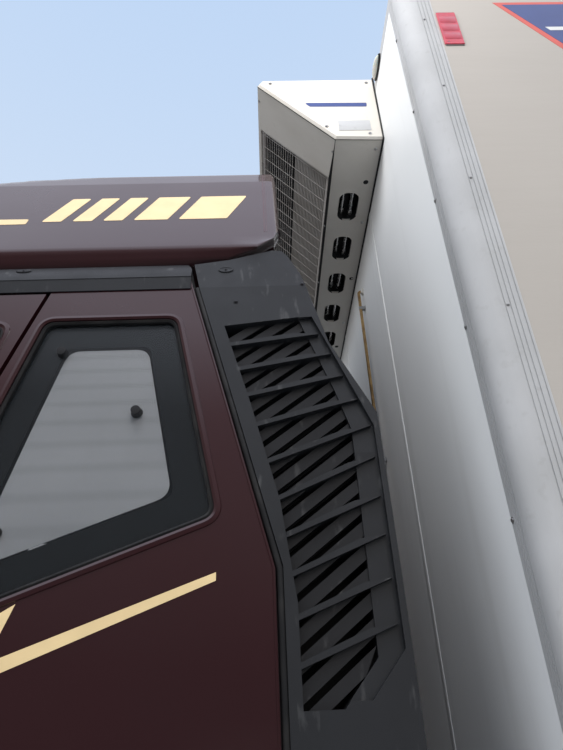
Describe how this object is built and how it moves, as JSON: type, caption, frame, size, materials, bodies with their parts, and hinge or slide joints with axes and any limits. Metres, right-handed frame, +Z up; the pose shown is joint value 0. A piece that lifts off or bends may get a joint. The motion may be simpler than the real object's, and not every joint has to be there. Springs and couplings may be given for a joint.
{
  "type": "refrigerated box truck",
  "caption": "Cab-over box truck with a cooling unit on an insulated body, louvred side fairings, a tilting cab, steered front wheels and hinged cargo doors.",
  "frame": {"origin": "on the ground, under the middle of the overall length and width", "axes": "+X forward along the truck, +Y to the truck's left, +Z up"},
  "size_m": [8.988, 2.84, 3.78],
  "materials": {
    "chassis_paint": "satin dark grey",
    "black_plastic": "fine grained",
    "lamp_clear": "clear moulded lens",
    "lamp_red": "clear red lens",
    "cast_iron": "as cast, dark",
    "aluminium": "satin, anodised",
    "tyre_rubber": "dull",
    "rim_paint": "silver paint",
    "body_panel": "smooth light laminate",
    "unit_paint": "warm white paint",
    "grille_wire": "dark coated wire",
    "brass": "dull golden",
    "cab_paint": "deep red gloss",
    "cab_glass": "tinted",
    "fairing_plastic": "dark grey moulded",
    "interior_plastic": "grained",
    "seat_fabric": "woven"
  },
  "bodies": {
    "chassis": {"frame_rails": "chassis_paint", "cross_members": "chassis_paint", "front_bumper": "fairing_plastic", "headlamps": "lamp_clear", "front_axle": "cast_iron", "leaf_springs": "chassis_paint", "rear_axle": "cast_iron", "driveshaft": "chassis_paint", "engine_block": "cast_iron", "fuel_tank": "aluminium", "battery_box": "black_plastic", "side_guards": "aluminium", "front_steps": "black_plastic", "rear_mudguards": "black_plastic", "rear_underrun": "chassis_paint", "tail_lamps": "lamp_red", "box_floor": "chassis_paint", "box_walls": "body_panel", "box_roof": "body_panel", "corner_profiles": "aluminium", "rear_door_frame": "aluminium", "cooling_unit": "unit_paint", "cooling_grille": "grille_wire", "marker_lamps": "lamp_red", "drain_pipe": "brass"},
    "cab": {"cab_floor": "cab_paint", "cab_rear_wall": "cab_paint", "cab_side_panels": "cab_paint", "cab_roof": "cab_paint", "cab_front": "cab_paint", "cab_windows": "cab_glass", "roof_strips": "fairing_plastic", "roof_deflector": "cab_paint", "side_fairings": "fairing_plastic", "fairing_lattices": "fairing_plastic", "front_grille": "fairing_plastic", "mirrors": "black_plastic", "dashboard": "interior_plastic", "seats": "seat_fabric"},
    "door_left": {"door_left": "cab_paint", "door_glass_left": "cab_glass"},
    "door_right": {"door_right": "cab_paint", "door_glass_right": "cab_glass"},
    "cargo_left": {"cargo_door_left": "body_panel"},
    "cargo_right": {"cargo_door_right": "body_panel"},
    "knuckle_left": {"knuckle_left": "cast_iron"},
    "knuckle_right": {"knuckle_right": "cast_iron"},
    "tie_rod": {"tie_rod": "chassis_paint"},
    "wheel_front_left": {"front_tyre_left": "tyre_rubber", "front_rim_left": "rim_paint"},
    "wheel_front_right": {"front_tyre_right": "tyre_rubber", "front_rim_right": "rim_paint"},
    "wheel_rear_left": {"rear_tyres_left": "tyre_rubber", "rear_rims_left": "rim_paint"},
    "wheel_rear_right": {"rear_tyres_right": "tyre_rubber", "rear_rims_right": "rim_paint"}
  },
  "joints": [
    {"name": "cab_tilt", "type": "hinge", "parent": "chassis", "child": "cab", "pos_m": [4.37, 0, 0.925], "axis": [0, 1, 0], "range_deg": [0, 45]},
    {"name": "door_left_hinge", "type": "hinge", "parent": "cab", "child": "door_left", "pos_m": [4.196, 1.122, 1.6], "axis": [0, 0, -1], "range_deg": [0, 70]},
    {"name": "door_right_hinge", "type": "hinge", "parent": "cab", "child": "door_right", "pos_m": [4.196, -1.122, 1.6], "axis": [0, 0, 1], "range_deg": [0, 70]},
    {"name": "cargo_left_hinge", "type": "hinge", "parent": "chassis", "child": "cargo_left", "pos_m": [-4.483, 1.29, 2.4], "axis": [0, 0, -1], "range_deg": [0, 270]},
    {"name": "cargo_right_hinge", "type": "hinge", "parent": "chassis", "child": "cargo_right", "pos_m": [-4.483, -1.29, 2.4], "axis": [0, 0, 1], "range_deg": [0, 270]},
    {"name": "steer_left", "type": "hinge", "parent": "chassis", "child": "knuckle_left", "pos_m": [3.065, 0.85, 0.505], "axis": [0, 0, 1], "range_deg": [-35, 35]},
    {"name": "steer_right", "type": "hinge", "parent": "chassis", "child": "knuckle_right", "pos_m": [3.065, -0.85, 0.505], "axis": [0, 0, 1], "range_deg": [-35, 35]},
    {"name": "tie_rod_left_end", "type": "hinge", "parent": "knuckle_left", "child": "tie_rod", "pos_m": [2.885, 0.85, 0.358], "axis": [0, 0, 1], "range_deg": [-35, 35]},
    {"name": "spin_front_left", "type": "hinge", "parent": "knuckle_left", "child": "wheel_front_left", "pos_m": [3.065, 1, 0.505], "axis": [0, 1, 0], "continuous": true},
    {"name": "spin_front_right", "type": "hinge", "parent": "knuckle_right", "child": "wheel_front_right", "pos_m": [3.065, -1, 0.505], "axis": [0, 1, 0], "continuous": true},
    {"name": "spin_rear_left", "type": "hinge", "parent": "chassis", "child": "wheel_rear_left", "pos_m": [-1.935, 0.93, 0.505], "axis": [0, 1, 0], "continuous": true},
    {"name": "spin_rear_right", "type": "hinge", "parent": "chassis", "child": "wheel_rear_right", "pos_m": [-1.935, -0.93, 0.505], "axis": [0, 1, 0], "continuous": true}
  ],
  "couplings": [
    {"joint": "steer_right", "follows": "steer_left", "ratio": 1},
    {"joint": "tie_rod_left_end", "follows": "steer_left", "ratio": -1}
  ]
}
